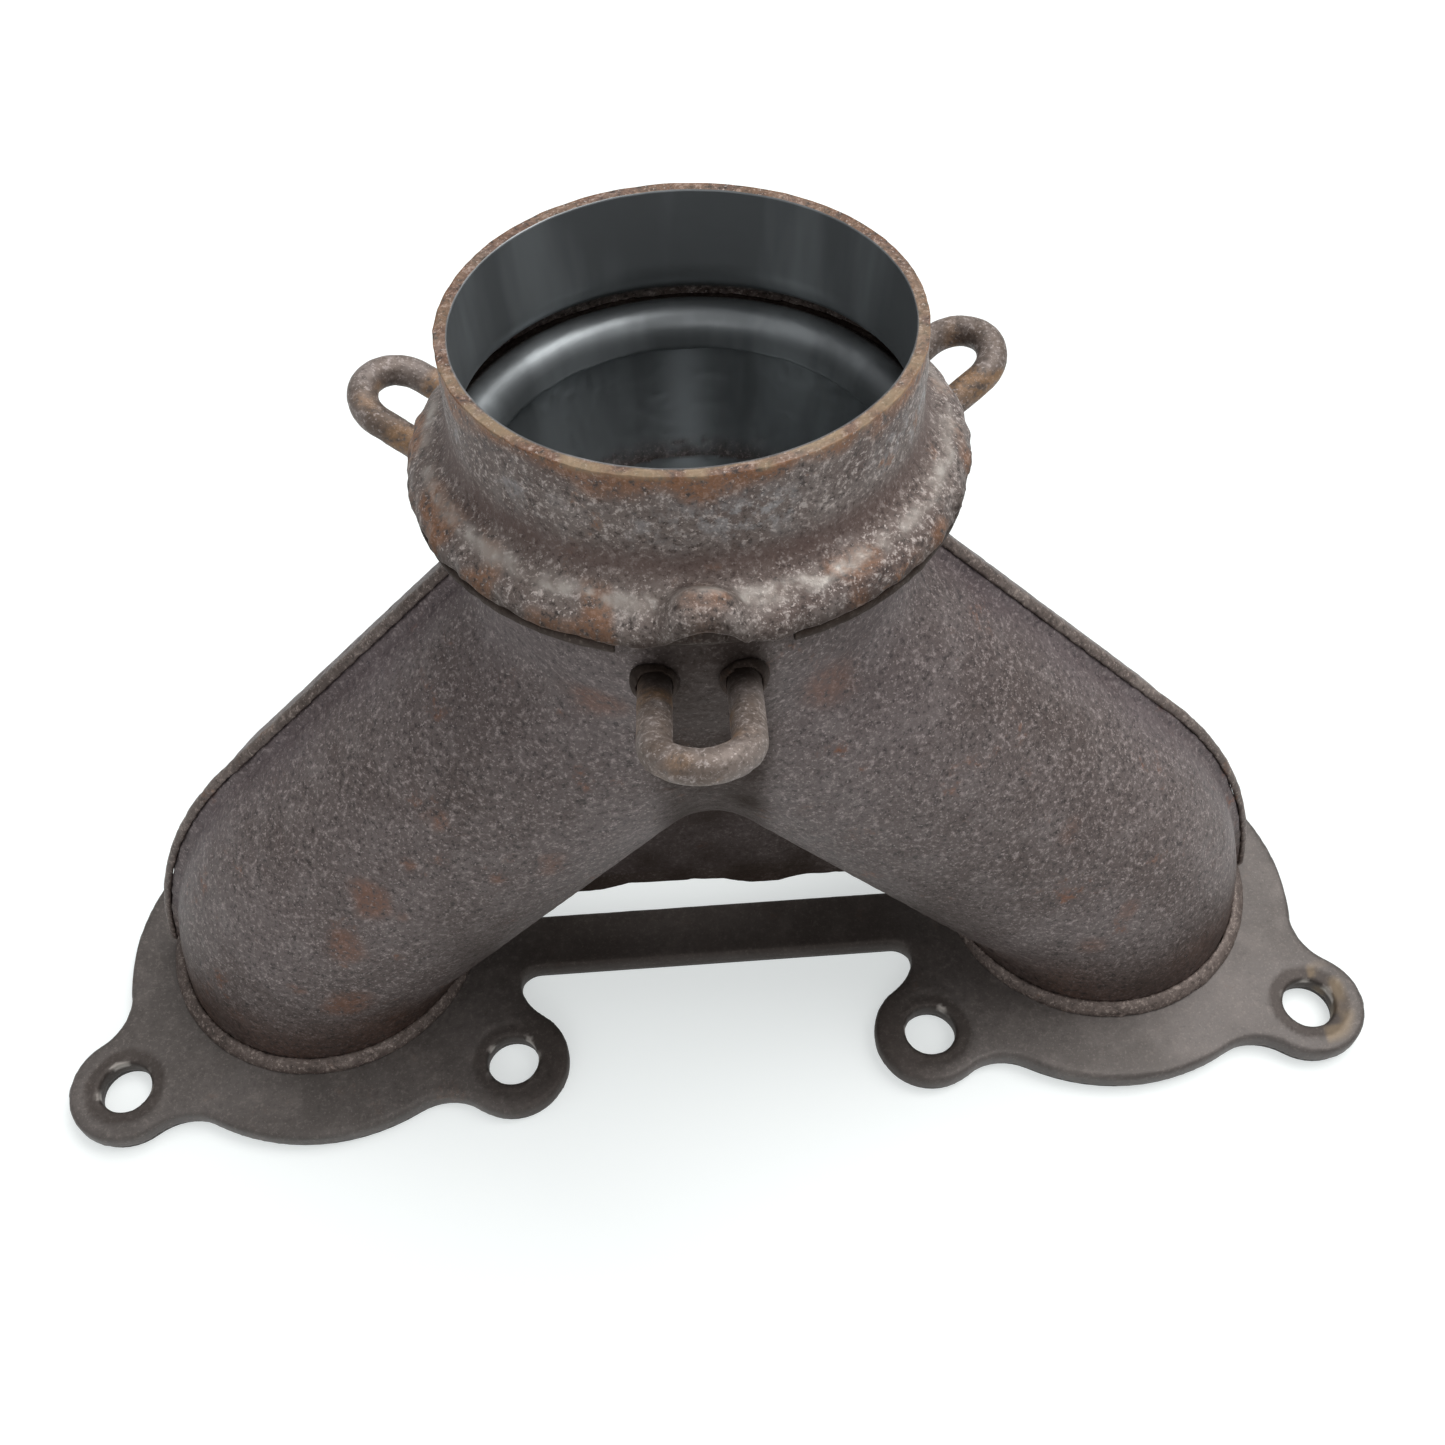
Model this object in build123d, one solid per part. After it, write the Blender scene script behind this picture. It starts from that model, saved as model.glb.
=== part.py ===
from build123d import *
import os
from math import asin, cos, radians, sin, sqrt

# Two-into-one exhaust collector for a twin-cylinder engine, in millimetres.
# Origin: on the cylinder-head face, midway between the two exhaust ports.
# X runs along the ports, +Y points away from the front hook, +Z leaves the head face.
# The pressed shells, the neck and the collar are drawn upright and then leaned back
# by LEAN about X, so their heights below are measured along the leaning outlet axis.

# ---- head flange and gasket ----
PORT_SPACING = 150.7
FLANGE_THICK = 4.0
GASKET_THICK = 1.0
LOBE_R = 38.0
LOBE_FORWARD = 3.4
EAR_R = 10.5
BOLT_HOLE_R = 4.75
FRONT_BOLT_SPACING = 72.1
FRONT_BOLT_OFFSET = 28.7
REAR_BOLT_OFFSET = 46.1
LOBE_BLEND_R = 10.0
LINK_WIDTH = 11.4
LINK_FORWARD = 4.4
LINK_BLEND_R = 3.5
PLATE_EDGE_ROUND = 0.8
HOLE_EDGE_ROUND = 0.5
GASKET_INSET = 0.6
GASKET_HOLE_CLEARANCE = 0.4

# ---- pressed shells ----
LEAN = 6.6
WALL = 2.0
PORT_PIPE_R = 27.2
RUNNER_R = 29.2
RUNNER_BEND_R = 44.2
RUNNER_BEND_START = 0.4
RUNNER_ANGLE = 45.0
PORT_FIT = 0.15
SEAM_LIP = 1.5
SEAM_LIP_THICK = 1.6
SEAM_FOOT = 8.0
SEAM_WELD_R = 1.4
SEAM_WELD_TOP_BELOW_SEAT = 12.0
WEB_BOTTOM = 14.6
CREASE_R = 12.0
# ragged lower edge of the web, from left to right: place along X, rise above WEB_BOTTOM
WEB_CUT = ((-20.0, 0.0), (-16.0, 1.5), (2.0, 1.2), (6.0, -0.6), (13.0, -1.0), (18.0, 0.6))

# ---- neck, seat ring and collar, along the outlet axis from where the runners meet ----
NECK_R = 34.0
NECK_FOOT_R = 25.0
NECK_FOOT_BELOW = 15.0
NECK_FULL_ABOVE = 15.8
NECK_FOOT_SLOPE = 0.32
NECK_FULL_SLOPE = 0.05
SEAT_ABOVE = 24.2
SEAT_WALL = 1.5
SEAT_ARC_R = 4.0
SEAT_THROAT_LENGTH = 2.5
SEAT_FIT = 0.1
SEAT_THROAT_GAP = 0.3
COLLAR_R = 33.7
COLLAR_WALL = 1.8
COLLAR_STRAIGHT = 12.5
FLARE_BEND_R = 5.6
FLARE_ANGLE = 60.0
FLARE_LENGTH = 1.8
SKIRT_BEND_R = 5.4
SKIRT_TUCK_ANGLE = 5.0
RIM_ABOVE_SEAT = 25.1
RIM_ROUND = 0.5
NECK_WELD_R = 1.6
NECK_WELD_OUT = 1.2
SKIRT_WELD_R = 1.5
SKIRT_WELD_OUT = 1.0
SKIRT_WELD_ABOVE = 1.0
ARCH_R = 8.6
ARCH_BEAD_R = 3.2
ARCH_BELOW_SEAT = 0.2
ARCH_SET_IN = 2.2
ARCH_OPENING_R = 7.0
ARCH_CUT_DEPTH = 19.0

# ---- spring hooks and their welds ----
HOOK_ROD_R = 2.45
HOOK_BEND_R = 6.2
HOOK_REACH = 56.7
HOOK_TIP_BELOW_SEAT = 2.8
HOOK_RISE = 20.0
HOOK_WELD_R = 3.6
HOOK_ROOT_DEPTH = 4.0
HOOK_AZIMUTHS = {"front": -91.4, "left": 150.7, "right": 31.0}
PORT_WELD_R = 2.5

# ---- derived places ----
FLANGE_TOP = GASKET_THICK + FLANGE_THICK
PORT_X = PORT_SPACING / 2
BEND_END_X = PORT_X - RUNNER_BEND_R * (1 - cos(radians(RUNNER_ANGLE)))
BEND_END_Z = RUNNER_BEND_START + RUNNER_BEND_R * sin(radians(RUNNER_ANGLE))
APEX_Z = BEND_END_Z + BEND_END_X * cos(radians(RUNNER_ANGLE)) / sin(radians(RUNNER_ANGLE))
SEAT_Z = APEX_Z + SEAT_ABOVE
SEAT_MID_R = NECK_R - WALL - SEAT_THROAT_GAP + SEAT_ARC_R - SEAT_WALL
RIM_Z = SEAT_Z + RIM_ABOVE_SEAT
LEANED = Rot(X=-LEAN)
BIG = 600.0
TOUCH = 0.01


def below(height):
    """Everything under a level plane."""
    return Pos(0, 0, height - BIG / 2) * Box(BIG, BIG, BIG)


def behind():
    """Everything behind the seam plane, upright."""
    return Pos(0, BIG / 2, 0) * Box(BIG, BIG, BIG)


def largest(shape):
    """The biggest solid of a shape, without the crumbs a cut may leave."""
    return max(shape.solids(), key=lambda solid: solid.volume)


def fitted(shape, neighbours):
    """A shape cut back to its neighbours, without crumbs."""
    for neighbour in neighbours:
        shape = largest(shape - neighbour)
    return shape


def lobe_outline():
    """One flange lobe: three bolt ears blended into the body round a port."""
    half = FRONT_BOLT_SPACING / 2
    body = Pos(0, -LOBE_FORWARD) * Circle(LOBE_R)
    rear_ear = Pos(0, REAR_BOLT_OFFSET) * Circle(EAR_R)
    outline = make_hull((body + rear_ear).edges())
    for x in (-half, half):
        outline += Pos(x, -FRONT_BOLT_OFFSET) * Circle(EAR_R)
    outline = offset(outline, LOBE_BLEND_R)
    outline = offset(outline, -LOBE_BLEND_R)
    return outline


def plate_outline():
    """Both lobes joined by the link bar, with soft inner corners."""
    lobe = lobe_outline()
    outline = Pos(-PORT_X, 0) * lobe + Pos(PORT_X, 0) * lobe
    outline += Pos(0, -LINK_FORWARD) * Rectangle(PORT_SPACING - LOBE_R, LINK_WIDTH)
    outline = offset(outline, LINK_BLEND_R)
    return offset(outline, -LINK_BLEND_R)


def bolt_places():
    """Centres of the six bolt holes."""
    half = FRONT_BOLT_SPACING / 2
    places = []
    for side in (-1, 1):
        places.append((side * PORT_X - half, -FRONT_BOLT_OFFSET))
        places.append((side * PORT_X + half, -FRONT_BOLT_OFFSET))
        places.append((side * PORT_X, REAR_BOLT_OFFSET))
    return places


def runner_tube(side, grow):
    """One solid runner, its wall moved out by grow: port stub, widening bend, straight reach."""
    foot = (side * PORT_X, 0, -FLANGE_TOP)
    bend_start = (side * PORT_X, 0, RUNNER_BEND_START)
    bend_end = (side * BEND_END_X, 0, BEND_END_Z)
    slope = (-side * sin(radians(RUNNER_ANGLE)), 0, cos(radians(RUNNER_ANGLE)))
    bend = TangentArc(bend_start, bend_end, tangent=(0, 0, 1))
    reach = Line(bend_end, (0, 0, APEX_Z))
    narrow = Plane(bend_start, z_dir=(0, 0, 1)) * Circle(PORT_PIPE_R + grow)
    wide = Plane(bend_end, z_dir=slope) * Circle(RUNNER_R + grow)
    tube = sweep([narrow, wide], path=bend, multisection=True)
    tube += extrude(Plane(foot, z_dir=(0, 0, 1)) * Circle(PORT_PIPE_R + grow), FLANGE_TOP + RUNNER_BEND_START)
    return tube + extrude(wide, reach.length)


def neck_core(inset):
    """The neck that gathers both runners, as a solid of revolution."""
    foot_r = NECK_FOOT_R - inset
    full_r = NECK_R - inset
    foot_z = APEX_Z - NECK_FOOT_BELOW
    full_z = APEX_Z + NECK_FULL_ABOVE
    top_z = SEAT_Z + SEAT_ARC_R
    slopes = ((NECK_FOOT_SLOPE, 0, 1), (NECK_FULL_SLOPE, 0, 1))
    side = Spline((foot_r, 0, foot_z), (full_r, 0, full_z), tangents=slopes)
    rest = Polyline((full_r, 0, full_z), (full_r, 0, top_z), (0, 0, top_z), (0, 0, foot_z), (foot_r, 0, foot_z))
    return revolve(make_face(side + rest), Axis.Z)


def manifold_core(inset):
    """Both runners and the neck as one solid, drawn in by the inset."""
    core = runner_tube(-1, -inset) + runner_tube(1, -inset)
    return core + neck_core(inset)


def softened(core):
    """The same solid with its creases filled, where the runners and the neck blend."""
    plain = (GeomType.CIRCLE, GeomType.LINE)
    creases = core.edges().filter_by(lambda edge: edge.geom_type not in plain)
    return fillet(creases, CREASE_R)


def seam_lips():
    """The flat lips that stand out along the seam, and the web in the crotch."""
    slab = Box(BIG, 2 * SEAM_LIP_THICK, BIG)
    lips = (runner_tube(-1, SEAM_LIP) + runner_tube(1, SEAM_LIP)) & slab
    inner_x = PORT_X - PORT_PIPE_R
    lips -= Pos(0, 0, SEAM_FOOT - BIG / 2) * Box(BIG, BIG, BIG)
    cut = [(x, WEB_BOTTOM + rise) for x, rise in WEB_CUT]
    web_edge = Polyline((-inner_x, WEB_BOTTOM), *cut, (inner_x, WEB_BOTTOM), (0, APEX_Z - RUNNER_R), close=True)
    web = extrude(Plane.XZ * make_face(web_edge), SEAM_LIP_THICK, both=True)
    return lips + web


def shells(outer, inner):
    """Front and rear pressings, split on the seam plane and trimmed to the ports and seat."""
    hollow_r = SEAT_ARC_R - SEAT_WALL
    bore_gap = SEAT_MID_R - (NECK_R - WALL)
    neck_top = SEAT_Z + sqrt(hollow_r**2 - bore_gap**2) - SEAT_FIT
    skin = outer + seam_lips()
    skin -= inner
    skin -= Pos(0, 0, neck_top + BIG / 2) * Box(BIG, BIG, BIG)
    halves = []
    for half in (skin - behind(), skin & behind()):
        halves.append(largest(LEANED * half - below(GASKET_THICK)))
    return halves


def flange_plate():
    """Head flange: rounded plate with six bolt holes and two leaning port holes."""
    plate = extrude(plate_outline(), FLANGE_THICK)
    plate = Pos(0, 0, GASKET_THICK) * plate
    plate = fillet(plate.edges().group_by(Axis.Z)[-1], PLATE_EDGE_ROUND)
    for x, y in bolt_places():
        plate -= Pos(x, y, 0) * Cylinder(BOLT_HOLE_R, BIG)
    rims = plate.edges().filter_by(GeomType.CIRCLE).filter_by(lambda e: abs(e.radius - BOLT_HOLE_R) < TOUCH)
    plate = fillet(rims.filter_by(lambda e: e.center().Z > FLANGE_TOP - TOUCH), HOLE_EDGE_ROUND)
    for side in (-1, 1):
        plate -= LEANED * runner_tube(side, PORT_FIT)
    return largest(plate)


def gasket():
    """Thin gasket left under the flange, drawn in a little from its edge."""
    sheet = extrude(offset(plate_outline(), -GASKET_INSET), GASKET_THICK)
    for x, y in bolt_places():
        sheet -= Pos(x, y, 0) * Cylinder(BOLT_HOLE_R + GASKET_HOLE_CLEARANCE, BIG)
    for side in (-1, 1):
        sheet -= Pos(side * PORT_X, 0, 0) * Cylinder(PORT_PIPE_R, BIG)
    return largest(sheet)


def sheet_side(start, heading, moves, shift):
    """One side of a bent sheet in the XZ plane, shifted to the left of the drawn line."""
    r, z = start
    turn = radians(heading)
    edges = []
    for kind, size, angle in moves:
        left = (-sin(turn), cos(turn))
        first = (r + shift * left[0], 0, z + shift * left[1])
        if kind == "line":
            r += size * cos(turn)
            z += size * sin(turn)
            edges.append(Line(first, (r + shift * left[0], 0, z + shift * left[1])))
            continue
        bend = size if angle > 0 else -size
        centre = (r + bend * left[0], z + bend * left[1])
        stops = []
        for share in (0.5, 1.0):
            now = turn + radians(angle) * share
            along = bend - shift
            stops.append((centre[0] + along * sin(now), 0, centre[1] - along * cos(now)))
        edges.append(ThreePointArc(first, stops[0], stops[1]))
        turn += radians(angle)
        r = centre[0] + bend * sin(turn)
        z = centre[1] - bend * cos(turn)
    return edges


def spun_sheet(start, heading, moves, wall):
    """A bent sheet turned about the outlet axis, its wall to the left of the drawn line."""
    near = sheet_side(start, heading, moves, 0)
    far = sheet_side(start, heading, moves, wall)
    ends = [Line(near[0] @ 0, far[0] @ 0), Line(near[-1] @ 1, far[-1] @ 1)]
    return revolve(make_face(Wire(near + far + ends)), Axis.Z)


def seat_ring():
    """Pressed ring between neck and collar: a half-round crown with a short throat inside."""
    start = (SEAT_MID_R + SEAT_ARC_R, SEAT_Z - SEAT_FIT)
    moves = [
        ("line", SEAT_FIT, 0),
        ("arc", SEAT_ARC_R, 180),
        ("line", SEAT_THROAT_LENGTH, 0),
    ]
    return spun_sheet(start, 90, moves, SEAT_WALL)


def arch_place():
    """Where the raised arch stands: over the front hook, on the skirt's lower edge."""
    flare = radians(FLARE_ANGLE)
    skirt_r = COLLAR_R + (FLARE_BEND_R + SKIRT_BEND_R) * (1 - cos(flare)) + FLARE_LENGTH * sin(flare)
    return Pos(0, -(skirt_r - ARCH_SET_IN), SEAT_Z - ARCH_BELOW_SEAT) * Rot(X=90)


def outlet_collar():
    """Straight sleeve with a flared skirt tucked round the seat ring, arched over the front hook."""
    moves = [
        ("line", COLLAR_STRAIGHT, 0),
        ("arc", FLARE_BEND_R, FLARE_ANGLE),
        ("line", FLARE_LENGTH, 0),
        ("arc", SKIRT_BEND_R, -FLARE_ANGLE - SKIRT_TUCK_ANGLE),
    ]
    collar = spun_sheet((COLLAR_R, RIM_Z), -90, moves, -COLLAR_WALL)
    rim = collar.edges().group_by(Axis.Z)[-1]
    collar = fillet(rim, RIM_ROUND)
    lining = sheet_side((COLLAR_R, RIM_Z), -90, moves, -COLLAR_WALL)
    top = lining[0] @ 0
    foot = lining[-1] @ 1
    rest = Polyline(foot, (foot.X, 0, 0), (0, 0, 0), (0, 0, top.Z), top)
    hollow = revolve(make_face(Wire(lining + rest.edges())), Axis.Z)
    arch = arch_place() * Torus(ARCH_R, ARCH_BEAD_R) - below(SEAT_Z - ARCH_BELOW_SEAT) - hollow
    opening = arch_place() * Cylinder(ARCH_OPENING_R, ARCH_CUT_DEPTH)
    return largest(collar - opening + arch)


def skirt_bead():
    """Bead between the seat ring and the skirt's lower edge, open under the arch."""
    bead = Torus(SEAT_MID_R + SEAT_ARC_R + SKIRT_WELD_OUT, SKIRT_WELD_R)
    bead = Pos(0, 0, SEAT_Z + SKIRT_WELD_ABOVE) * bead
    return bead - arch_place() * Cylinder(ARCH_R + ARCH_BEAD_R, ARCH_CUT_DEPTH)


def neck_bead():
    """Bead under the seat ring that joins it to the neck."""
    return Pos(0, 0, SEAT_Z - NECK_WELD_R / 2) * Torus(NECK_R + NECK_WELD_OUT, NECK_WELD_R)


def port_bead(side):
    """Fillet bead round one runner where it meets the flange."""
    centre_y = FLANGE_TOP * sin(radians(LEAN))
    bead = Pos(side * PORT_X, centre_y, FLANGE_TOP) * Torus(PORT_PIPE_R, PORT_WELD_R)
    return bead - below(FLANGE_TOP)


def seam_bead(side):
    """Round bead that closes the seam lips along the outside of one runner."""
    path = edge_path(side)
    return sweep(Plane(path @ 0, z_dir=path % 0) * Circle(SEAM_WELD_R), path=path)


def edge_path(side):
    """Outer edge of the seam lips, from the foot of the seam to under the skirt."""
    turn = radians(RUNNER_ANGLE)
    first = asin((SEAM_FOOT - RUNNER_BEND_START) / (RUNNER_BEND_R + PORT_PIPE_R + SEAM_LIP))
    stops = []
    for angle in (first, (first + turn) / 2, turn):
        reach = RUNNER_BEND_R + PORT_PIPE_R + (RUNNER_R - PORT_PIPE_R) * angle / turn + SEAM_LIP
        x = PORT_X - RUNNER_BEND_R + reach * cos(angle)
        stops.append((side * x, 0, RUNNER_BEND_START + reach * sin(angle)))
    rise = SEAT_Z - SEAM_WELD_TOP_BELOW_SEAT - stops[-1][2]
    top_x = abs(stops[-1][0]) - rise * sin(turn) / cos(turn)
    top = (side * top_x, 0, stops[-1][2] + rise)
    return ThreePointArc(*stops) + Line(stops[-1], top)


def hook_stops():
    """Root, bend and tip points of a spring hook, drawn for an azimuth of zero."""
    rise = radians(HOOK_RISE)
    root_run = (HOOK_REACH - NECK_R + HOOK_ROOT_DEPTH) / cos(rise)
    stops = []
    for back, across in ((root_run, -1), (HOOK_BEND_R, -1), (0, 0), (HOOK_BEND_R, 1), (root_run, 1)):
        x = HOOK_REACH - back * cos(rise)
        z = SEAT_Z - HOOK_TIP_BELOW_SEAT - back * sin(rise)
        stops.append((x, across * HOOK_BEND_R, z))
    return stops


def hook_rod(azimuth, core):
    """One spring hook bent from rod, its two legs trimmed to the neck."""
    stops = hook_stops()
    path = Line(stops[0], stops[1]) + ThreePointArc(stops[1], stops[2], stops[3]) + Line(stops[3], stops[4])
    rod = sweep(Plane(path @ 0, z_dir=path % 0) * Circle(HOOK_ROD_R), path=path)
    return largest(LEANED * Rot(Z=azimuth) * rod - core)


def hook_weld(azimuth, core, hook):
    """Two beads of weld where one hook's legs meet the neck."""
    stops = hook_stops()
    rise = radians(HOOK_RISE)
    beads = []
    for root in (stops[0], stops[-1]):
        run = (sqrt(NECK_R**2 - HOOK_BEND_R**2) - root[0]) / cos(rise)
        place = Pos(root[0] + run * cos(rise), root[1], root[2] + run * sin(rise))
        bead = place * Rot(Y=90 - HOOK_RISE) * Sphere(HOOK_WELD_R)
        beads.append(fitted(LEANED * Rot(Z=azimuth) * bead, [core, hook]))
    return Compound(children=beads)


def build():
    """Every piece of the collector by its node name."""
    outer = softened(manifold_core(0))
    core = LEANED * outer
    front, rear = shells(outer, manifold_core(WALL))
    pieces = {
        "flange_plate": flange_plate(),
        "gasket": gasket(),
        "front_shell": front,
        "rear_shell": rear,
        "seat_ring": largest(LEANED * seat_ring()),
        "outlet_collar": largest(LEANED * outlet_collar()),
    }
    mouth = [front, rear, pieces["seat_ring"], pieces["outlet_collar"]]
    pieces["neck_weld"] = fitted(LEANED * neck_bead(), mouth)
    pieces["skirt_weld"] = fitted(LEANED * skirt_bead(), mouth + [pieces["neck_weld"]])
    for side, name in ((-1, "left"), (1, "right")):
        pieces[f"{name}_port_weld"] = fitted(port_bead(side), [core])
        pieces[f"{name}_seam_weld"] = fitted(LEANED * seam_bead(side), [front, rear])
    for name, azimuth in HOOK_AZIMUTHS.items():
        pieces[f"{name}_hook"] = hook_rod(azimuth, core)
        pieces[f"{name}_hook_weld"] = hook_weld(azimuth, core, pieces[f"{name}_hook"])
    return pieces


os.makedirs("parts", exist_ok=True)
for node, piece in build().items():
    export_step(piece, f"parts/{node}.step")
    print(node, len(piece.solids()), round(piece.volume, 1))
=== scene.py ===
import math
import bpy
import bmesh
import numpy as np
from mathutils import Matrix, Vector


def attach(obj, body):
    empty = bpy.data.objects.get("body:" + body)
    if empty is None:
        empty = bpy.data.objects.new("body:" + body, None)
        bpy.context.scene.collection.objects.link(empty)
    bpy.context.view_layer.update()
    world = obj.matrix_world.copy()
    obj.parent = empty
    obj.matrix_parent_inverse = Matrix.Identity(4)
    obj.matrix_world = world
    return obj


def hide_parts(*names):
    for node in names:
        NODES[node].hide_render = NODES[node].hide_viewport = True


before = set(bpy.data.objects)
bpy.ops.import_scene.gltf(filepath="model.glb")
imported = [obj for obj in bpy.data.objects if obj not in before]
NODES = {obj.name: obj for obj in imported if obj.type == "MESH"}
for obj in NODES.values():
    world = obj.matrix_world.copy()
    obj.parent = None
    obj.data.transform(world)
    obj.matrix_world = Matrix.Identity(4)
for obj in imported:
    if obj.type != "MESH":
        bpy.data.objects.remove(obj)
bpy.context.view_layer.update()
MM = 0.001

# ---------------------------------------------------------------- sizes shared with the frame
LEAN = math.radians(6.6)
APEX_Z, SEAT_Z, RIM_Z = 93.95, 118.15, 143.25
PORT_X, RUNNER_BEND_R, RUNNER_R, PORT_PIPE_R = 75.35, 44.2, 29.2, 27.2
COLLAR_R, COLLAR_WALL = 33.7, 1.8
ARCH_AZIMUTH = math.radians(-90.0)
LEAN_BACK = np.array(Matrix.Rotation(-LEAN, 3, "X"))


def leaned(points):
    """Upright millimetres to the frame's metres."""
    return np.asarray(points) @ LEAN_BACK.T * MM


def upright(points):
    """The frame's metres to upright millimetres along the outlet axis."""
    return np.asarray(points) @ LEAN_BACK / MM


# ---------------------------------------------------------------- noise and mesh helpers
def grain(points, cell, seed):
    """Smooth lattice noise from -1 to 1, one lattice cell per cell length."""
    place = np.asarray(points) / cell + 1000.0
    low = np.floor(place).astype(np.int64)
    part = place - low
    part = part * part * (3 - 2 * part)
    total = np.zeros(len(place))
    for corner in range(8):
        step = np.array([corner & 1, corner >> 1 & 1, corner >> 2 & 1])
        at = low + step
        key = at[:, 0] * 73856093 ^ at[:, 1] * 19349663 ^ at[:, 2] * 83492791 ^ seed * 961748927
        key = (key ^ key >> 13) * 1274126177 & 0xFFFFFFFF
        key = (key ^ key >> 15) * 668265263 & 0xFFFFFFFF
        value = (key >> 8 & 0xFFFF) / 32767.5 - 1
        weight = np.prod(np.where(step == 1, part, 1 - part), axis=1)
        total += value * weight
    return total


def ramp(value, low, high):
    """Smooth step from 0 at low to 1 at high."""
    t = np.clip((value - low) / (high - low), 0, 1)
    return t * t * (3 - 2 * t)


def shown(name, mesh, slot, *nodes):
    """A new piece of the object that stands for the named nodes."""
    piece = bpy.data.objects.new(name, mesh)
    bpy.context.collection.objects.link(piece)
    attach(piece, "root")
    if nodes:
        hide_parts(*nodes)
    return piece


def coords(mesh):
    values = np.empty(len(mesh.vertices) * 3)
    mesh.vertices.foreach_get("co", values)
    return values.reshape(-1, 3)


def normals(mesh):
    values = np.empty(len(mesh.vertices) * 3)
    mesh.vertices.foreach_get("normal", values)
    return values.reshape(-1, 3)


def set_coords(mesh, points):
    mesh.vertices.foreach_set("co", np.asarray(points).ravel())
    mesh.update()


def layer(mesh, name, values):
    """A value for each vertex that a material reads by name."""
    attribute = mesh.attributes.new(name, "FLOAT", "POINT")
    attribute.data.foreach_set("value", np.clip(values, 0, 1).astype(np.float32))


def smooth(mesh):
    mesh.polygons.foreach_set("use_smooth", [True] * len(mesh.polygons))


def remeshed(node, voxel, rounds=2):
    """A finer, softened copy of a node's surface for detail to be worked into."""
    copy = NODES[node].data.copy()
    copy.materials.clear()
    work = bmesh.new()
    work.from_mesh(copy)
    bmesh.ops.remove_doubles(work, verts=work.verts, dist=1e-6)
    work.to_mesh(copy)
    work.free()
    holder = bpy.data.objects.new("holder", copy)
    bpy.context.collection.objects.link(holder)
    remesh = holder.modifiers.new("remesh", "REMESH")
    remesh.mode = "VOXEL"
    remesh.voxel_size = voxel * MM
    remesh.use_smooth_shade = True
    soften = holder.modifiers.new("soften", "SMOOTH")
    soften.factor = 0.5
    soften.iterations = rounds
    view = bpy.context.evaluated_depsgraph_get()
    mesh = bpy.data.meshes.new_from_object(holder.evaluated_get(view))
    bpy.data.objects.remove(holder)
    smooth(mesh)
    return mesh


def weathered(mesh, roughness, pits, seed):
    """Works a grainy surface and scattered shallow pits into a mesh, in millimetres."""
    points, out = coords(mesh), normals(mesh)
    mm = points / MM
    rise = roughness * (0.6 * grain(mm, 1.3, seed) + 0.4 * grain(mm, 3.1, seed + 1))
    rise -= pits * ramp(grain(mm, 1.7, seed + 2), 0.35, 0.75)
    set_coords(mesh, points + out * (rise * MM)[:, None])
    return mesh


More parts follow.
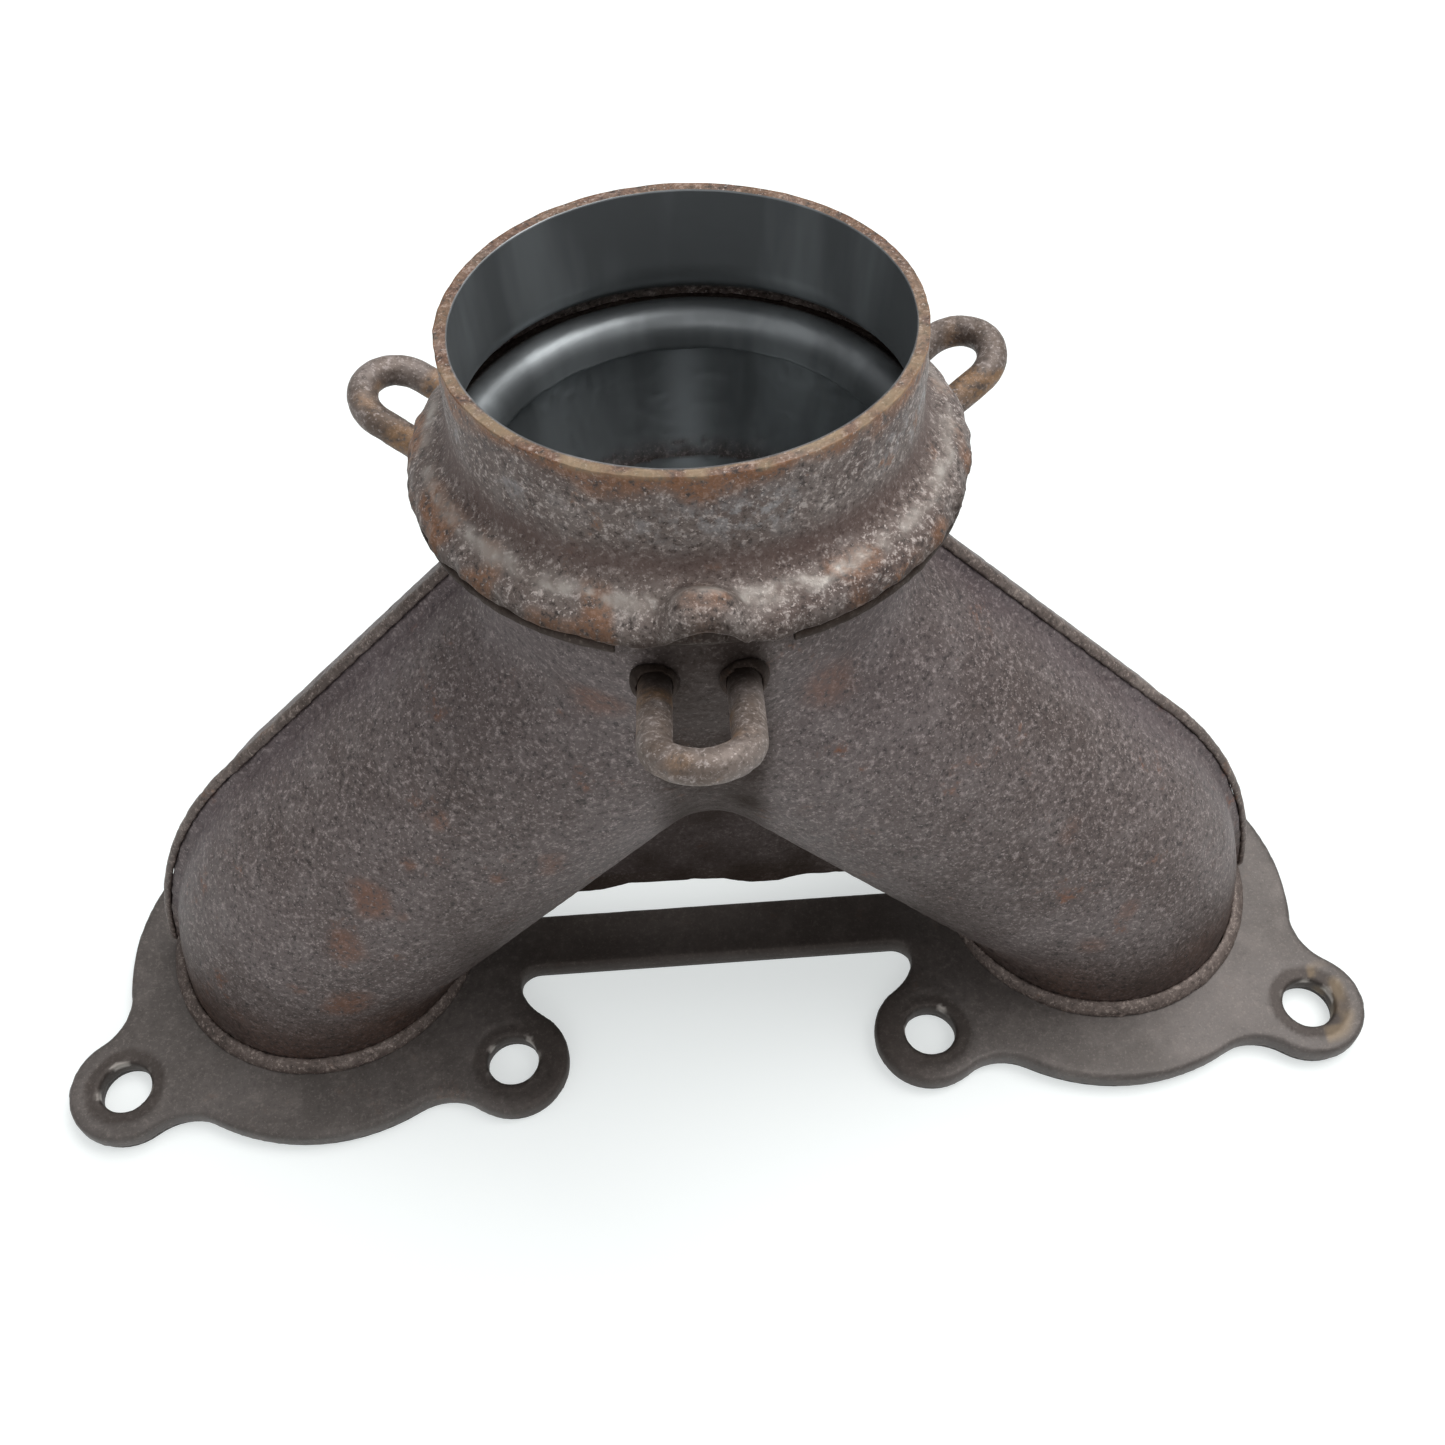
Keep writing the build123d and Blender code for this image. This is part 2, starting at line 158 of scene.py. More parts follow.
# ---------------------------------------------------------------- materials
class Finish:
    """A node material under construction."""

    def __init__(self, name):
        self.material = bpy.data.materials.new(name)
        self.material.use_nodes = True
        self.tree = self.material.node_tree
        self.tree.nodes.clear()
        self.place = self.node("ShaderNodeTexCoord").outputs["Object"]

    def node(self, kind, inputs=None, **settings):
        made = self.tree.nodes.new(kind)
        for key, value in settings.items():
            setattr(made, key, value)
        for key, value in (inputs or {}).items():
            self.feed(made.inputs[key], value)
        return made

    def feed(self, socket, value):
        if isinstance(value, bpy.types.NodeSocket):
            self.tree.links.new(value, socket)
        elif socket.type == "RGBA" and len(value) == 3:
            socket.default_value = (*value, 1)
        else:
            socket.default_value = value

    def noise(self, size, detail=3.0, rough=0.55, seed=0.0, stretch=(1, 1, 1)):
        """Noise from 0 to 1 with features of about size millimetres."""
        shift = (seed, seed, seed)
        scaled = self.node("ShaderNodeMapping", {"Vector": self.place, "Location": shift, "Scale": stretch})
        made = self.node(
            "ShaderNodeTexNoise",
            {"Vector": scaled.outputs[0], "Scale": 1000 / size, "Detail": detail, "Roughness": rough},
        )
        return made.outputs["Fac"]

    def cells(self, size, seed=0.0):
        scaled = self.node("ShaderNodeMapping", {"Vector": self.place, "Location": (seed, seed, seed)})
        made = self.node("ShaderNodeTexVoronoi", {"Vector": scaled.outputs[0], "Scale": 1000 / size})
        return made.outputs["Distance"]

    def step(self, value, low, high, top=1.0):
        """Smooth 0 to top as the value runs from low to high."""
        made = self.node(
            "ShaderNodeMapRange",
            {"Value": value, "From Min": low, "From Max": high, "To Min": 0.0, "To Max": top},
            interpolation_type="SMOOTHSTEP",
        )
        return made.outputs[0]

    def math(self, what, a, b=0.0):
        made = self.node("ShaderNodeMath", operation=what)
        for socket, value in zip(made.inputs, (a, b)):
            self.feed(socket, value)
        return made.outputs[0]

    def read(self, name):
        return self.node("ShaderNodeAttribute", attribute_name=name).outputs["Fac"]

    def blend(self, amount, under, over, how="MIX"):
        made = self.node("ShaderNodeMix", data_type="RGBA", blend_type=how)
        self.feed(made.inputs["Factor"], amount)
        self.feed(made.inputs[6], under)
        self.feed(made.inputs[7], over)
        return made.outputs[2]

    def blend_value(self, amount, under, over):
        made = self.node("ShaderNodeMix", data_type="FLOAT")
        self.feed(made.inputs["Factor"], amount)
        self.feed(made.inputs[2], under)
        self.feed(made.inputs[3], over)
        return made.outputs[0]

    def close(self, colour, roughness, metallic, height, depth, specular=0.5):
        """Ends the material in one shader, with fine relief depth millimetres deep."""
        bump = self.node("ShaderNodeBump", {"Height": height, "Distance": depth * MM, "Strength": 1.0})
        shader = self.node("ShaderNodeBsdfPrincipled", {"Base Color": colour, "Normal": bump.outputs[0]})
        self.feed(shader.inputs["Roughness"], roughness)
        self.feed(shader.inputs["Metallic"], metallic)
        shader.inputs["Specular IOR Level"].default_value = specular
        out = self.node("ShaderNodeOutputMaterial")
        self.tree.links.new(shader.outputs[0], out.inputs["Surface"])
        return self.material


def oxide(name, tones, speck=0.5, rust=0.5, gloss=0.55, metal=0.35, relief=0.10, inner=None, shaded=True):
    """Heat-browned steel: mottled tones, fine specks, rust freckles, painted shade and painted highlights
    read from layers and, if given, a smooth inner face with painted reflections.
    """
    f = Finish(name)
    dark, middle, light, orange = tones
    patches = f.noise(26, 4, 0.6, 3.1)
    blotch = f.noise(7, 4, 0.6, 11.7)
    fine = f.noise(1.05, 4, 0.7, 5.3)
    tiny = f.noise(0.5, 2, 0.6, 8.9)
    colour = f.blend(f.step(patches, 0.35, 0.68), dark, middle)
    colour = f.blend(f.step(blotch, 0.45, 0.75, 0.55), colour, light)
    colour = f.blend(f.step(fine, 0.52, 0.68, speck), colour, tuple(min(1, c * 1.7) for c in light))
    colour = f.blend(f.step(fine, 0.48, 0.32, speck), colour, tuple(c * 0.30 for c in dark))
    colour = f.blend(f.step(tiny, 0.58, 0.70, speck * 0.7), colour, tuple(min(1, c * 2.4) for c in light))
    pits = f.step(f.noise(1.1, 2, 0.6, 40.0), 0.40, 0.28, speck * 0.8)
    colour = f.blend(pits, colour, tuple(c * 0.3 for c in dark))
    freckles = f.math("MULTIPLY", f.step(f.noise(9, 5, 0.7, 21.0), 0.60, 0.72), f.step(fine, 0.40, 0.60))
    freckles = f.math("MULTIPLY", freckles, rust)
    freckles = f.math("MAXIMUM", freckles, f.math("MULTIPLY", f.read("rust"), f.step(fine, 0.34, 0.56, 0.85)))
    colour = f.blend(freckles, colour, orange)
    colour = f.blend(f.math("MULTIPLY", f.read("temper"), 0.55), colour, (0.130, 0.102, 0.122))
    colour = f.blend(f.math("MULTIPLY", f.read("groove"), 0.75), colour, (0.105, 0.064, 0.055))
    chalk = f.math("MULTIPLY", f.read("pale"), f.step(f.noise(3.2, 5, 0.75, 31.0), 0.46, 0.62))
    colour = f.blend(f.math("MULTIPLY", chalk, 0.8), colour, (0.40, 0.40, 0.41))
    # A paler band along the collar's shoulder ridge: partly the brim's own lighter tone, partly painted
    # highlight.
    brim = f.math("MULTIPLY", f.read("brim_tone_and_highlight"), f.step(blotch, 0.35, 0.6))
    colour = f.blend(brim, colour, (0.36, 0.32, 0.29))
    colour = f.blend(f.math("MULTIPLY", f.read("edge"), 0.75), colour, (0.36, 0.27, 0.17))
    # Painted shade: this layer darkens the colour towards near black where shade falls. That is in crevices,
    # under the skirt, round the front hook and on welds, and partly it is real grime.
    colour = f.blend(f.math("MULTIPLY", f.read("soot_and_painted_shade"), 0.94), colour, (0.026, 0.016, 0.011))
    # Painted highlight: this layer lightens the colour towards pale grey and makes it glossier. These are
    # glints on the collar's shoulder and the bolt holes' rims, partly bare metal.
    colour = f.blend(f.read("bright"), colour, (0.62, 0.58, 0.54))
    roughness = f.math("ADD", f.math("MULTIPLY", fine, 0.3), gloss - 0.12)
    roughness = f.math("SUBTRACT", roughness, f.math("MULTIPLY", f.read("bright"), 0.25))
    height = f.math("ADD", f.math("MULTIPLY", fine, 1.0), f.math("MULTIPLY", tiny, 0.35))
    height = f.math("SUBTRACT", height, f.step(f.cells(2.3, 4.0), 0.28, 0.05, 0.35))
    metallic = metal
    # Where the painted shade lies, the surface turns more metallic and rough so that it reflects only dark.
    if shaded:
        metallic = f.blend_value(f.read("soot_and_painted_shade"), metal, 0.85)
        roughness = f.blend_value(f.read("soot_and_painted_shade"), roughness, 0.75)
    if inner:
        inside = f.read("inside")
        # Painted reflections: lighter vertical streaks over the inner face, and a brighter stripe read from a
        # layer.
        streaks = f.noise(9, 3, 0.5, 2.0, (1, 1, 0.12))
        lining = f.blend(f.step(streaks, 0.4, 0.7), inner, tuple(c * 1.6 for c in inner))
        lining = f.blend(f.read("painted_reflection"), lining, tuple(min(1, c * 3.0) for c in inner))
        colour = f.blend(inside, colour, lining)
        roughness = f.blend_value(inside, roughness, 0.42)
        metallic = f.blend_value(inside, metallic, 0.6)
        height = f.blend_value(inside, height, 0.5)
    return f.close(colour, roughness, metallic, height, relief)


SHELL_TONES = ((0.105, 0.080, 0.074), (0.150, 0.122, 0.118), (0.205, 0.175, 0.170), (0.21, 0.075, 0.028))
COLLAR_TONES = ((0.120, 0.085, 0.075), (0.185, 0.150, 0.135), (0.300, 0.265, 0.250), (0.26, 0.105, 0.035))
FLANGE_TONES = ((0.090, 0.078, 0.072), (0.125, 0.110, 0.104), (0.170, 0.148, 0.138), (0.20, 0.085, 0.035))
ROD_TONES = ((0.135, 0.100, 0.080), (0.225, 0.185, 0.165), (0.320, 0.285, 0.275), (0.34, 0.180, 0.065))
WELD_TONES = ((0.100, 0.075, 0.065), (0.150, 0.118, 0.105), (0.240, 0.200, 0.180), (0.27, 0.110, 0.035))
INNER = (0.200, 0.215, 0.225)

shell_steel = oxide("shell_oxide", SHELL_TONES, speck=0.85, rust=0.8, relief=0.16, inner=INNER)
collar_steel = oxide("collar_oxide", COLLAR_TONES, speck=0.9, rust=0.9, relief=0.22, inner=INNER)
flange_steel = oxide("flange_oxide", FLANGE_TONES, speck=0.25, rust=0.2, gloss=0.5, relief=0.05)
rod_steel = oxide("rod_oxide", ROD_TONES, speck=0.5, rust=0.6, relief=0.10)
weld_steel = oxide("weld_oxide", WELD_TONES, speck=0.6, rust=0.5, relief=0.14)
GASKET_TONES = tuple(tuple(c * 0.5 for c in tone) for tone in FLANGE_TONES)
gasket_sheet = oxide("gasket_black", GASKET_TONES, speck=0.3, rust=0.1, shaded=False)


def dressed(piece, material):
    piece.data.materials.clear()
    piece.data.materials.append(material)
    return piece


# ---------------------------------------------------------------- where a point lies
def runner_gap(up):
    """Distance outside the mid-wall surface of the nearest runner or the neck, upright millimetres."""
    x, y, z = np.abs(up[:, 0]), up[:, 1], up[:, 2]
    centre_x = PORT_X - RUNNER_BEND_R
    angle = np.clip(np.arctan2(z, x - centre_x), 0, math.radians(45))
    bend_x = centre_x + RUNNER_BEND_R * np.cos(angle)
    bend_z = RUNNER_BEND_R * np.sin(angle)
    tube_r = PORT_PIPE_R + (RUNNER_R - PORT_PIPE_R) * angle / math.radians(45)
    near_bend = np.sqrt((x - bend_x) ** 2 + y**2 + (z - bend_z) ** 2) - tube_r
    stub = np.sqrt((x - PORT_X) ** 2 + y**2) - PORT_PIPE_R
    stub = np.where(z < 0, stub, 99)
    across = (x + z - APEX_Z) / math.sqrt(2)
    reach = np.sqrt(across**2 + y**2) - RUNNER_R
    reach = np.where(z > x - centre_x, reach, 99)
    reach = np.where(z < APEX_Z + 10, reach, 99)
    bore = 25 + 9 * ramp(z, APEX_Z - 15, APEX_Z + 15.8)
    neck = np.sqrt(x**2 + y**2) - bore
    neck = np.where(z > APEX_Z - 15, neck, 99)
    return np.minimum(np.minimum(near_bend, stub), np.minimum(reach, neck)) + 1.0


# ---------------------------------------------------------------- shells
# rust patches on the front shell: place along X, upright height, radius, strength
RUST_SPOTS = (
    (-43.0, 70.0, 2.2, 1.0),
    (-49.0, 60.5, 1.2, 0.8),
    (-57.0, 52.0, 3.6, 0.9),
    (-52.0, 49.0, 1.3, 0.6),
    (-63.0, 41.0, 4.2, 0.8),
    (-35.0, 58.0, 1.4, 0.7),
    (-26.0, 60.0, 3.0, 0.6),
    (-66.0, 22.0, 5.0, 0.9),
    (-74.0, 28.0, 1.6, 0.8),
    (-60.0, 12.0, 4.0, 0.9),
    (-88.0, 14.0, 3.0, 0.5),
    (-17.0, 98.0, 5.0, 0.7),
    (18.0, 97.0, 5.0, 0.7),
    (60.0, 55.0, 2.6, 0.4),
    (72.0, 34.0, 2.4, 0.5),
    (66.0, 26.0, 3.0, 0.5),
)


def shell_piece(node, seed):
    mesh = remeshed(node, 0.7)
    weathered(mesh, 0.10, 0.16, seed)
    points = coords(mesh)
    up = upright(points)
    inside = ramp(-runner_gap(up), -0.3, 0.3)
    mm = points / MM
    toward = normals(mesh)[:, 1] * (1 if node == "front_shell" else -1)
    crease = ramp(toward, 0.1, 0.4) * ramp(np.abs(up[:, 0]), 26, 20) * (up[:, 2] > 42) * (up[:, 2] < 95)
    inside = np.maximum(inside, crease)
    seam = ramp(np.abs(up[:, 1]), 14, 0) * (up[:, 2] > 20)
    neck = ramp(up[:, 2], 70, 105)
    layer(mesh, "inside", inside)
    # Painted reflection: a light vertical stripe on the rear inner wall, where the rounded ridge between the
    # pipes would reflect light.
    painted_reflection = np.exp(-(((up[:, 0] - 0.5) / 4.0) ** 2)) * (up[:, 1] > 0)
    layer(mesh, "painted_reflection", painted_reflection * ramp(up[:, 2], 50, 66) * 0.9)
    neck = neck * ramp(np.abs(up[:, 0] - 0.5), 8, 16)
    layer(mesh, "temper", np.maximum(seam * 0.9, neck * 0.35) * (0.6 + 0.4 * grain(mm, 14, seed + 5)))
    # Painted shade: darkening between the pipes, at their feet, on the web, in a column round the front hook
    # and under the skirt. At the feet it is partly real grime.
    crotch = ramp(up[:, 2], 62, 20) * ramp(np.abs(up[:, 0]), 58, 38)
    base = ramp(up[:, 2], 30, 8)
    web = (runner_gap(up) > 2.5) * (np.abs(up[:, 0]) < 50) * (up[:, 2] < 66)
    hook = ramp(np.abs(up[:, 0] - 0.5), 11, 6) * (up[:, 1] < 0) * (up[:, 2] > 55)
    under = 0.75 * ramp(up[:, 2], 108, 115)
    shade = np.maximum(np.maximum(crotch, 0.7 * base), np.maximum(web, np.maximum(1.0 * hook, under)))
    layer(mesh, "soot_and_painted_shade", shade * (0.8 + 0.2 * grain(mm, 6, seed + 9)) * (1 - inside))
    rust = np.zeros(len(points))
    for x, z, radius, strength in RUST_SPOTS:
        away = np.hypot(up[:, 0] - x, up[:, 2] - z) / radius + 0.5 * grain(mm, radius, seed + 7)
        rust = np.maximum(rust, 0.75 * strength * ramp(away, 1.2, 0.3) * (up[:, 1] < 0))
    foot = ramp(up[:, 2], 22, 8) * (1 - inside) * (0.55 + 0.45 * grain(mm, 9, seed + 8))
    layer(mesh, "rust", np.maximum(rust, 0.55 * foot))
    return dressed(shown(f"{node}_skin", mesh, "shell_steel", node), shell_steel)


for number, node in enumerate(("front_shell", "rear_shell")):
    shell_piece(node, 40 + 10 * number)


# ---------------------------------------------------------------- outlet collar
def collar_profile():
    """Outer line of the collar from rim to lower edge, with its outward normals, every 0.5 mm or so."""
    r, z, turn = COLLAR_R, RIM_Z, math.radians(-90)
    line = [(r, z, turn)]
    for kind, size, angle in (("line", 12.5, 0), ("arc", 5.6, 60), ("line", 1.8, 0), ("arc", 5.4, -58)):
        length = size if kind == "line" else size * math.radians(abs(angle))
        count = max(4, round(length / 0.4))
        for _ in range(count):
            turn += math.radians(angle) / count / 2
            r += length / count * math.cos(turn)
            z += length / count * math.sin(turn)
            turn += math.radians(angle) / count / 2
            line.append((r, z, turn))
    return line


BRIM_START, SHOULDER = 0.65, 0.765


def collar_piece():
    outer = collar_profile()
    around = 420
    loop = []
    for share, (r, z, turn) in enumerate(outer):
        loop.append((r, z, share / (len(outer) - 1), 0.0))
    last_r, last_z, last_turn = outer[-1]
    normal = (math.sin(last_turn), -math.cos(last_turn))
    for angle in (40, 90, 140):
        a = math.radians(angle)
        half = COLLAR_WALL / 2
        across = half * (1 - math.cos(a))
        down = half * 0.7 * math.sin(a)
        loop.append((last_r + normal[0] * across + math.cos(last_turn) * down,
                     last_z + normal[1] * across + math.sin(last_turn) * down, 1.0, 0.3))
    for share, (r, z, turn) in reversed(list(enumerate(outer))):
        inner_r = r + COLLAR_WALL * math.sin(turn)
        loop.append((inner_r, z - COLLAR_WALL * math.cos(turn), share / (len(outer) - 1), 1.0))
    for across, drop in ((1.55, 0.12), (0.9, -0.05), (0.25, 0.12)):
        loop.append((COLLAR_R - across, RIM_Z - drop, 0.0, 0.5))
    loop = np.array(loop)
    azimuth = np.linspace(0, 2 * math.pi, around, endpoint=False)
    r, z = np.tile(loop[:, 0], around), np.tile(loop[:, 1], around)
    v, side = np.tile(loop[:, 2], around), np.tile(loop[:, 3], around)
    turn = np.repeat(azimuth, len(loop))
    away = (turn - ARCH_AZIMUTH + math.pi) % (2 * math.pi) - math.pi
    arc = np.abs(away) * 41
    low = ramp(v, 0.62, 0.92)
    hump = np.exp(-((arc / 5.3) ** 3))
    slope = np.interp(v, (0, 0.50, 0.72, 0.80, 1.0), np.radians((-90, -90, -30, -30, -84)))
    dome = ramp(1 - np.hypot(arc / 7.4, (v - 1.0) / 0.36), 0.0, 0.42)
    fold = 0.5 * np.exp(-(((v - 0.88) / 0.035) ** 2))
    z = z + 4.6 * hump * low + (1.9 * dome - fold * dome) * np.cos(slope)
    r = r - (1.9 * dome - fold * dome) * np.sin(slope)
    r = r + 0.4 * np.exp(-(((arc - 9.5) / 3.0) ** 2)) * low
    upright_points = np.stack([r * np.cos(turn), r * np.sin(turn), z], 1)
    brim = ramp(v, BRIM_START, BRIM_START + 0.12)
    lip = ramp(v, 0.86, 0.95)
    outer_face = 1 - side
    rough = 0.10 + 0.20 * brim + 0.12 * lip
    bumps = rough * grain(upright_points, 2.6, 3) + 0.6 * rough * grain(upright_points, 1.2, 4)
    bumps += 0.16 * grain(upright_points, 17, 6) + 0.10 * grain(upright_points, 7, 7)
    bumps -= 0.20 * brim * outer_face * np.exp(-(((v - 0.82) / 0.03) ** 2))
    bumps *= 0.2 + 0.8 * outer_face
    out = np.stack([np.cos(turn), np.sin(turn), np.zeros(len(turn))], 1)
    points = leaned(upright_points + out * bumps[:, None])
    faces = []
    n = len(loop)
    for i in range(around):
        j = (i + 1) % around
        for k in range(n):
            m = (k + 1) % n
            faces.append((i * n + k, j * n + k, j * n + m, i * n + m))
    mesh = bpy.data.meshes.new("outlet_collar_skin")
    mesh.from_pydata(points.tolist(), [], faces)
    work = bmesh.new()
    work.from_mesh(mesh)
    bmesh.ops.recalc_face_normals(work, faces=work.faces)
    work.to_mesh(mesh)
    work.free()
    smooth(mesh)
    layer(mesh, "inside", (side > 0.9) * ramp(v, 0.93, 0.85))
    layer(mesh, "band", v)
    flakes = grain(upright_points, 4.5, 11)
    under_rim = ramp(v + 0.10 * flakes, 0.16, 0.02) * 0.9
    layer(mesh, "rust", outer_face * (under_rim + brim * ramp(flakes, -0.1, 0.5) * 0.8))
    chalk = np.exp(-(((v - 0.30) / 0.14) ** 2)) * ramp(grain(upright_points, 9, 12), -0.5, 0.5)
    layer(mesh, "pale", outer_face * chalk)
    # Painted highlight: glints along the shoulder ridge, strongest at the front and partly bare metal, and a
    # paler band on the same ridge.
    ridge = np.exp(-(((v - SHOULDER) / 0.045) ** 2)) * outer_face
    sides = 0.35 + 0.65 * np.exp(-((away / 1.1) ** 2))
    glint = 0.55 * ramp(grain(upright_points, 1.8, 9), 0.0, 0.6)
    glint += 0.45 * ramp(grain(upright_points, 0.9, 19), 0.1, 0.6)
    layer(mesh, "bright", ridge * sides * glint)
    layer(mesh, "brim_tone_and_highlight", ridge * 0.8)
    layer(mesh, "groove", outer_face * np.exp(-(((v - 0.56) / 0.09) ** 2)) * 0.9)
    worn = ramp(grain(upright_points, 2.2, 14), -0.7, 0.5) * (0.2 + 0.7 * ramp(-np.sin(turn), -0.4, 0.8))
    layer(mesh, "edge", np.exp(-((v / 0.02) ** 2)) * (side < 0.9) * worn)
    # Painted shade: the skirt's lower edge is darkened where shade falls under it.
    layer(mesh, "soot_and_painted_shade", 0.75 * ramp(v, 0.90, 1.0) * outer_face * (0.8 + 0.2 * grain(upright_points, 3, 15)))
    return dressed(shown("outlet_collar_skin", mesh, "collar_steel", "outlet_collar"), collar_steel)


collar_piece()

# ---------------------------------------------------------------- flange details
BOLT_SEAT_R = 7.4
BOLT_PLACES = ((-36.05, -28.7), (36.05, -28.7), (0, 46.1))
BOLTS = [(side * PORT_X + dx, y) for side in (-1, 1) for dx, y in BOLT_PLACES]


def bolt_seats(mesh):
    """Presses a shallow worn seat round each bolt hole and marks its dark ring and a ring of painted
    highlight glints at the hole's rim.
    """
    points = coords(mesh)
    mm = points / MM
    dark, bright = np.zeros(len(mm)), np.zeros(len(mm))
    for x, y in BOLTS:
        away = np.hypot(mm[:, 0] - x, mm[:, 1] - y) + 0.25 * grain(mm, 3, 21)
        seat = ramp(away, BOLT_SEAT_R + 0.3, BOLT_SEAT_R - 0.3)
        points[:, 2] -= 0.22 * MM * seat * (mm[:, 2] > 4)
        dark = np.maximum(dark, 0.45 * seat)
        # Painted highlight: glints on the rim of each hole.
        ring = ramp(away, 5.5, 4.9) * ramp(grain(mm, 2.0, 23), 0.1, 0.6)
        bright = np.maximum(bright, ring * (mm[:, 2] > 3.6))
    set_coords(mesh, points)
    # Painted shade: the link bar between the lobes is darkened as in the collar's shadow.
    link = ramp(np.abs(mm[:, 0]), 48, 30)
    layer(mesh, "soot_and_painted_shade", np.maximum(dark, 0.55 * link))
    layer(mesh, "bright", bright * 0.7)
    outer = ramp(np.hypot(mm[:, 0] - 111.4, mm[:, 1] + 28.7) + grain(mm, 3, 25), 9.5, 6.5)
    layer(mesh, "edge", 0.8 * outer * ramp(grain(mm, 2.5, 26), -0.4, 0.3) * (mm[:, 0] > 113))


# ---------------------------------------------------------------- the other pieces, finer than the frame's
for node, voxel, rough, pit, material, slot in (
    ("flange_plate", 0.7, 0.04, 0.03, flange_steel, "flange_steel"),
    ("seat_ring", 0.5, 0.02, 0.0, collar_steel, "collar_steel"),
    ("front_hook", 0.4, 0.07, 0.08, rod_steel, "rod_steel"),
    ("left_hook", 0.4, 0.07, 0.08, rod_steel, "rod_steel"),
    ("right_hook", 0.4, 0.07, 0.08, rod_steel, "rod_steel"),
    ("neck_weld", 0.4, 0.15, 0.1, weld_steel, "weld_steel"),
    ("skirt_weld", 0.35, 0.15, 0.1, weld_steel, "weld_steel"),
    ("left_port_weld", 0.3, 0.10, 0.1, weld_steel, "weld_steel"),
    ("right_port_weld", 0.3, 0.10, 0.1, weld_steel, "weld_steel"),
    ("left_seam_weld", 0.35, 0.10, 0.1, weld_steel, "weld_steel"),
    ("right_seam_weld", 0.35, 0.10, 0.1, weld_steel, "weld_steel"),
    ("front_hook_weld", 0.35, 0.15, 0.1, weld_steel, "weld_steel"),
    ("left_hook_weld", 0.35, 0.15, 0.1, weld_steel, "weld_steel"),
    ("right_hook_weld", 0.35, 0.15, 0.1, weld_steel, "weld_steel"),
):
    mesh = weathered(remeshed(node, voxel), rough, pit, 70 + len(node))
    up = upright(coords(mesh))
    if node == "seat_ring":
        rho = np.hypot(up[:, 0], up[:, 1])
        layer(mesh, "inside", ramp(rho, 36.2, 35.0))
        # Painted shade: the seat ring's outside, under the skirt, is darkened.
        layer(mesh, "soot_and_painted_shade", ramp(rho, 35.0, 36.2) * 0.8)
    if node == "flange_plate":
        bolt_seats(mesh)
    if node.endswith("_hook"):
        patches = grain(coords(mesh) / MM, 5.5, 27)
        layer(mesh, "rust", 0.75 * ramp(patches, 0.05, 0.6))
    if node == "front_hook":
        # Painted shade: the hook's legs darken towards their roots at the neck.
        root = ramp(-up[:, 1], 42, 35)
        layer(mesh, "soot_and_painted_shade", 0.9 * root)
    # Painted shade: welds under the skirt and at the hooks are darkened as they lie in shade.
    if node.endswith("hook_weld") or node in ("skirt_weld", "neck_weld"):
        layer(mesh, "soot_and_painted_shade", 0.85 + 0.15 * grain(coords(mesh) / MM, 3, 28))
    dressed(shown(f"{node}_skin", mesh, slot, node), material)

gasket = NODES["gasket"]
dressed(gasket, gasket_sheet)

# ---------------------------------------------------------------- stage, light, camera
def stage():
    bpy.ops.mesh.primitive_plane_add(size=6, location=(0, 0, 0))
    floor = bpy.context.object
    floor.name = "floor"
    f = Finish("pale_floor")
    path = f.node("ShaderNodeLightPath")
    seen = f.math("MAXIMUM", path.outputs["Is Camera Ray"], path.outputs["Is Glossy Ray"])
    seen = f.math("MAXIMUM", seen, path.outputs["Is Transmission Ray"])
    matt = f.node("ShaderNodeBsdfDiffuse", {"Color": (0.30, 0.31, 0.32)})
    pale = f.node("ShaderNodeBsdfDiffuse", {"Color": (0.58, 0.60, 0.60)})
    lift = f.node("ShaderNodeEmission", {"Color": (0.96, 1.0, 1.0), "Strength": 0.52})
    bright = f.node("ShaderNodeAddShader")
    f.tree.links.new(pale.outputs[0], bright.inputs[0])
    f.tree.links.new(lift.outputs[0], bright.inputs[1])
    mix = f.node("ShaderNodeMixShader")
    f.feed(mix.inputs[0], seen)
    f.tree.links.new(matt.outputs[0], mix.inputs[1])
    f.tree.links.new(bright.outputs[0], mix.inputs[2])
    out = f.node("ShaderNodeOutputMaterial")
    f.tree.links.new(mix.outputs[0], out.inputs["Surface"])
    floor.data.materials.append(f.material)


def softbox(name, place, aim, size, power):
    lamp = bpy.data.lights.new(name, "AREA")
    lamp.shape = "RECTANGLE"
    lamp.size, lamp.size_y = size
    lamp.energy = power
    lamp.color = (1.0, 0.99, 0.97)
    holder = bpy.data.objects.new(name, lamp)
    bpy.context.collection.objects.link(holder)
    holder.location = place
    holder.rotation_euler = (Vector(aim) - Vector(place)).to_track_quat("-Z", "Y").to_euler()


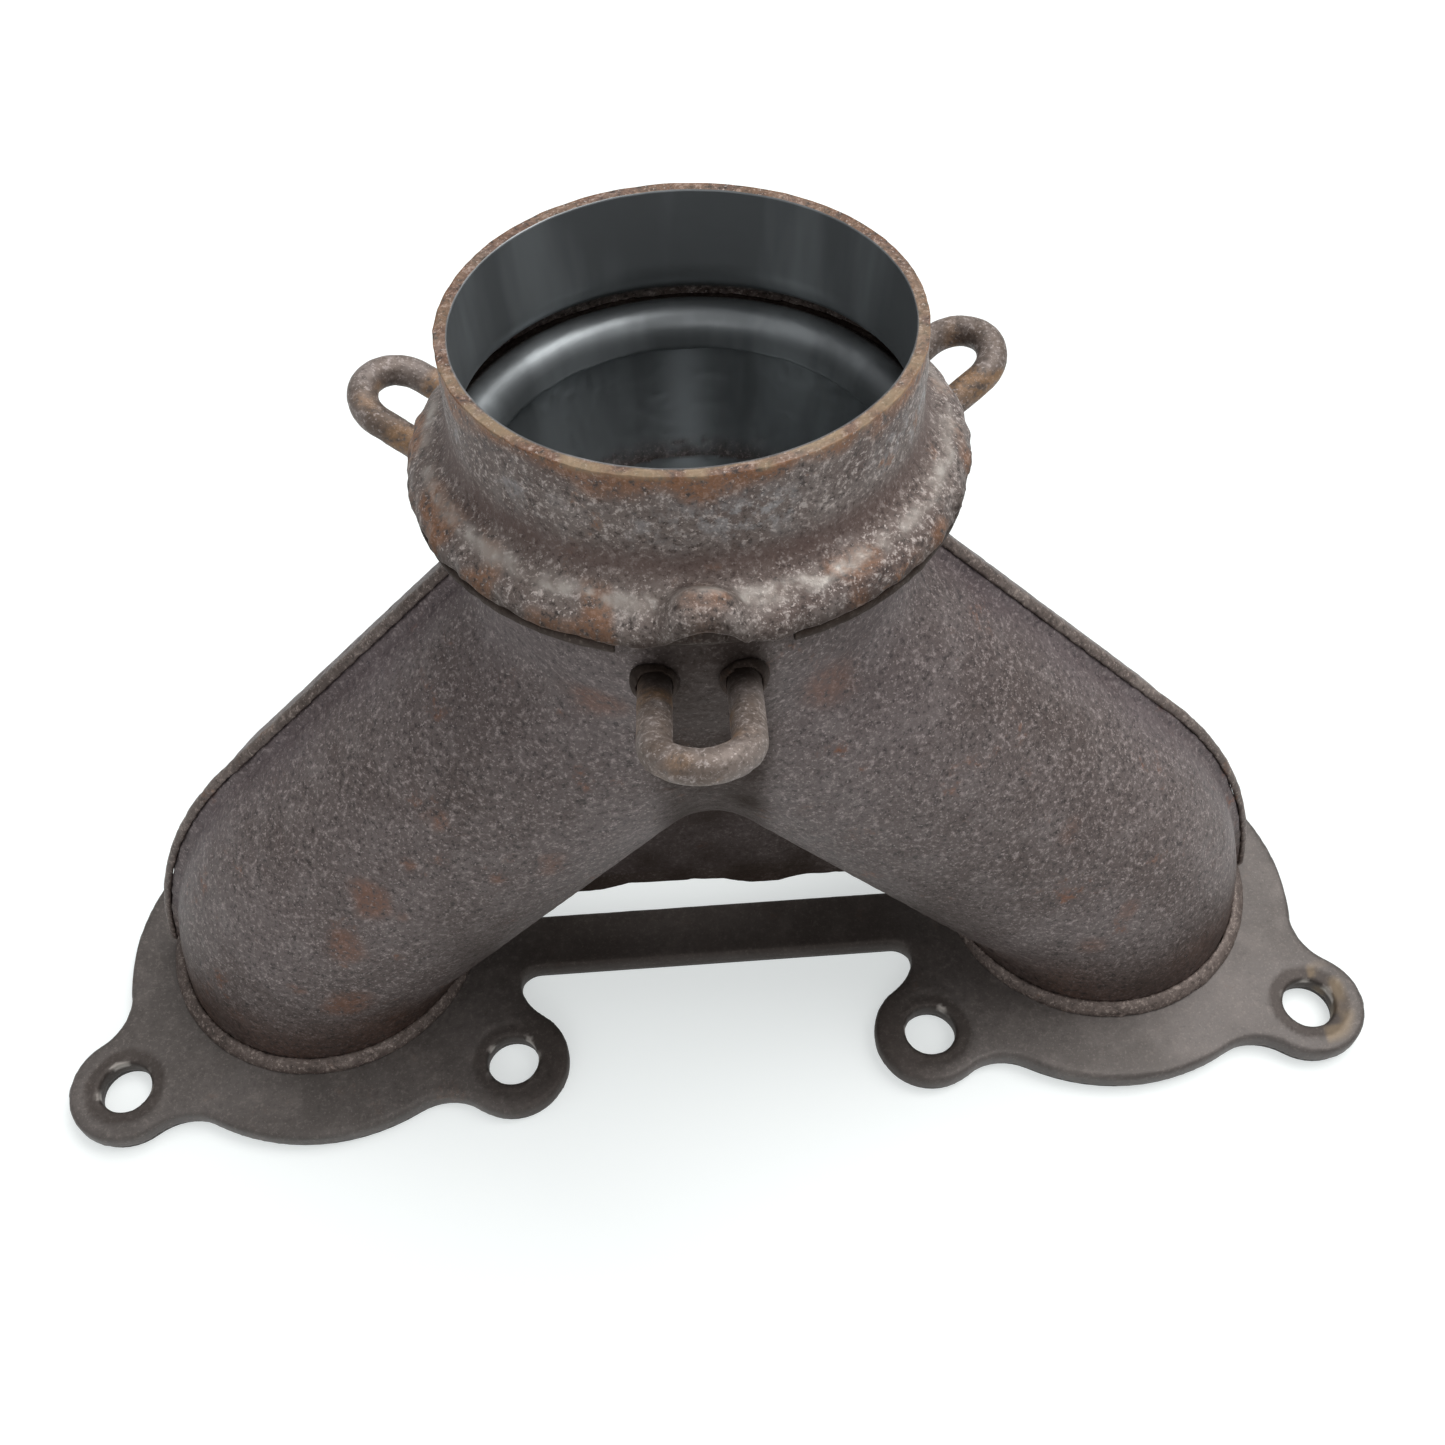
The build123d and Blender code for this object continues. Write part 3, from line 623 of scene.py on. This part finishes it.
def sky():
    world = bpy.data.worlds.new("sky")
    bpy.context.scene.world = world
    world.use_nodes = True
    tree = world.node_tree
    tree.nodes.clear()
    where = tree.nodes.new("ShaderNodeTexCoord")
    split = tree.nodes.new("ShaderNodeSeparateXYZ")
    tree.links.new(where.outputs["Generated"], split.inputs[0])
    level = tree.nodes.new("ShaderNodeMapRange")
    level.inputs["From Min"].default_value = 0.0
    level.inputs["From Max"].default_value = 1.0
    level.inputs["To Min"].default_value = 0.32
    level.inputs["To Max"].default_value = 0.85
    tree.links.new(split.outputs["Z"], level.inputs["Value"])
    light = tree.nodes.new("ShaderNodeBackground")
    tree.links.new(level.outputs[0], light.inputs["Strength"])
    white = tree.nodes.new("ShaderNodeBackground")
    white.inputs["Strength"].default_value = 1.0
    path = tree.nodes.new("ShaderNodeLightPath")
    mix = tree.nodes.new("ShaderNodeMixShader")
    tree.links.new(path.outputs["Is Camera Ray"], mix.inputs[0])
    tree.links.new(light.outputs[0], mix.inputs[1])
    tree.links.new(white.outputs[0], mix.inputs[2])
    out = tree.nodes.new("ShaderNodeOutputWorld")
    tree.links.new(mix.outputs[0], out.inputs["Surface"])


def camera():
    data = bpy.data.cameras.new("camera")
    data.lens, data.sensor_width = 41.77, 36.0
    data.clip_start, data.clip_end = 0.01, 20
    holder = bpy.data.objects.new("camera", data)
    bpy.context.collection.objects.link(holder)
    yaw, pitch, roll = (math.radians(a) for a in (2.547, 55.10, -1.735))
    forward = Vector((math.sin(yaw) * math.cos(pitch), math.cos(yaw) * math.cos(pitch), -math.sin(pitch)))
    side = Vector((math.cos(yaw), -math.sin(yaw), 0))
    top = side.cross(forward)
    right = side * math.cos(roll) + top * math.sin(roll)
    above = top * math.cos(roll) - side * math.sin(roll)
    turn = Matrix((right, above, -forward)).transposed().to_4x4()
    holder.matrix_world = Matrix.Translation((-0.00395, -0.15921, 0.29735)) @ turn
    bpy.context.scene.camera = holder


stage()
sky()
softbox("overhead", (0.5, 0.35, 1.25), (0, 0, 0.05), (1.2, 0.9), 15)
softbox("front_fill", (-0.3, -1.2, 0.9), (0, 0, 0.05), (0.8, 0.6), 2.0)
camera()
bpy.context.scene.view_settings.view_transform = "Standard"
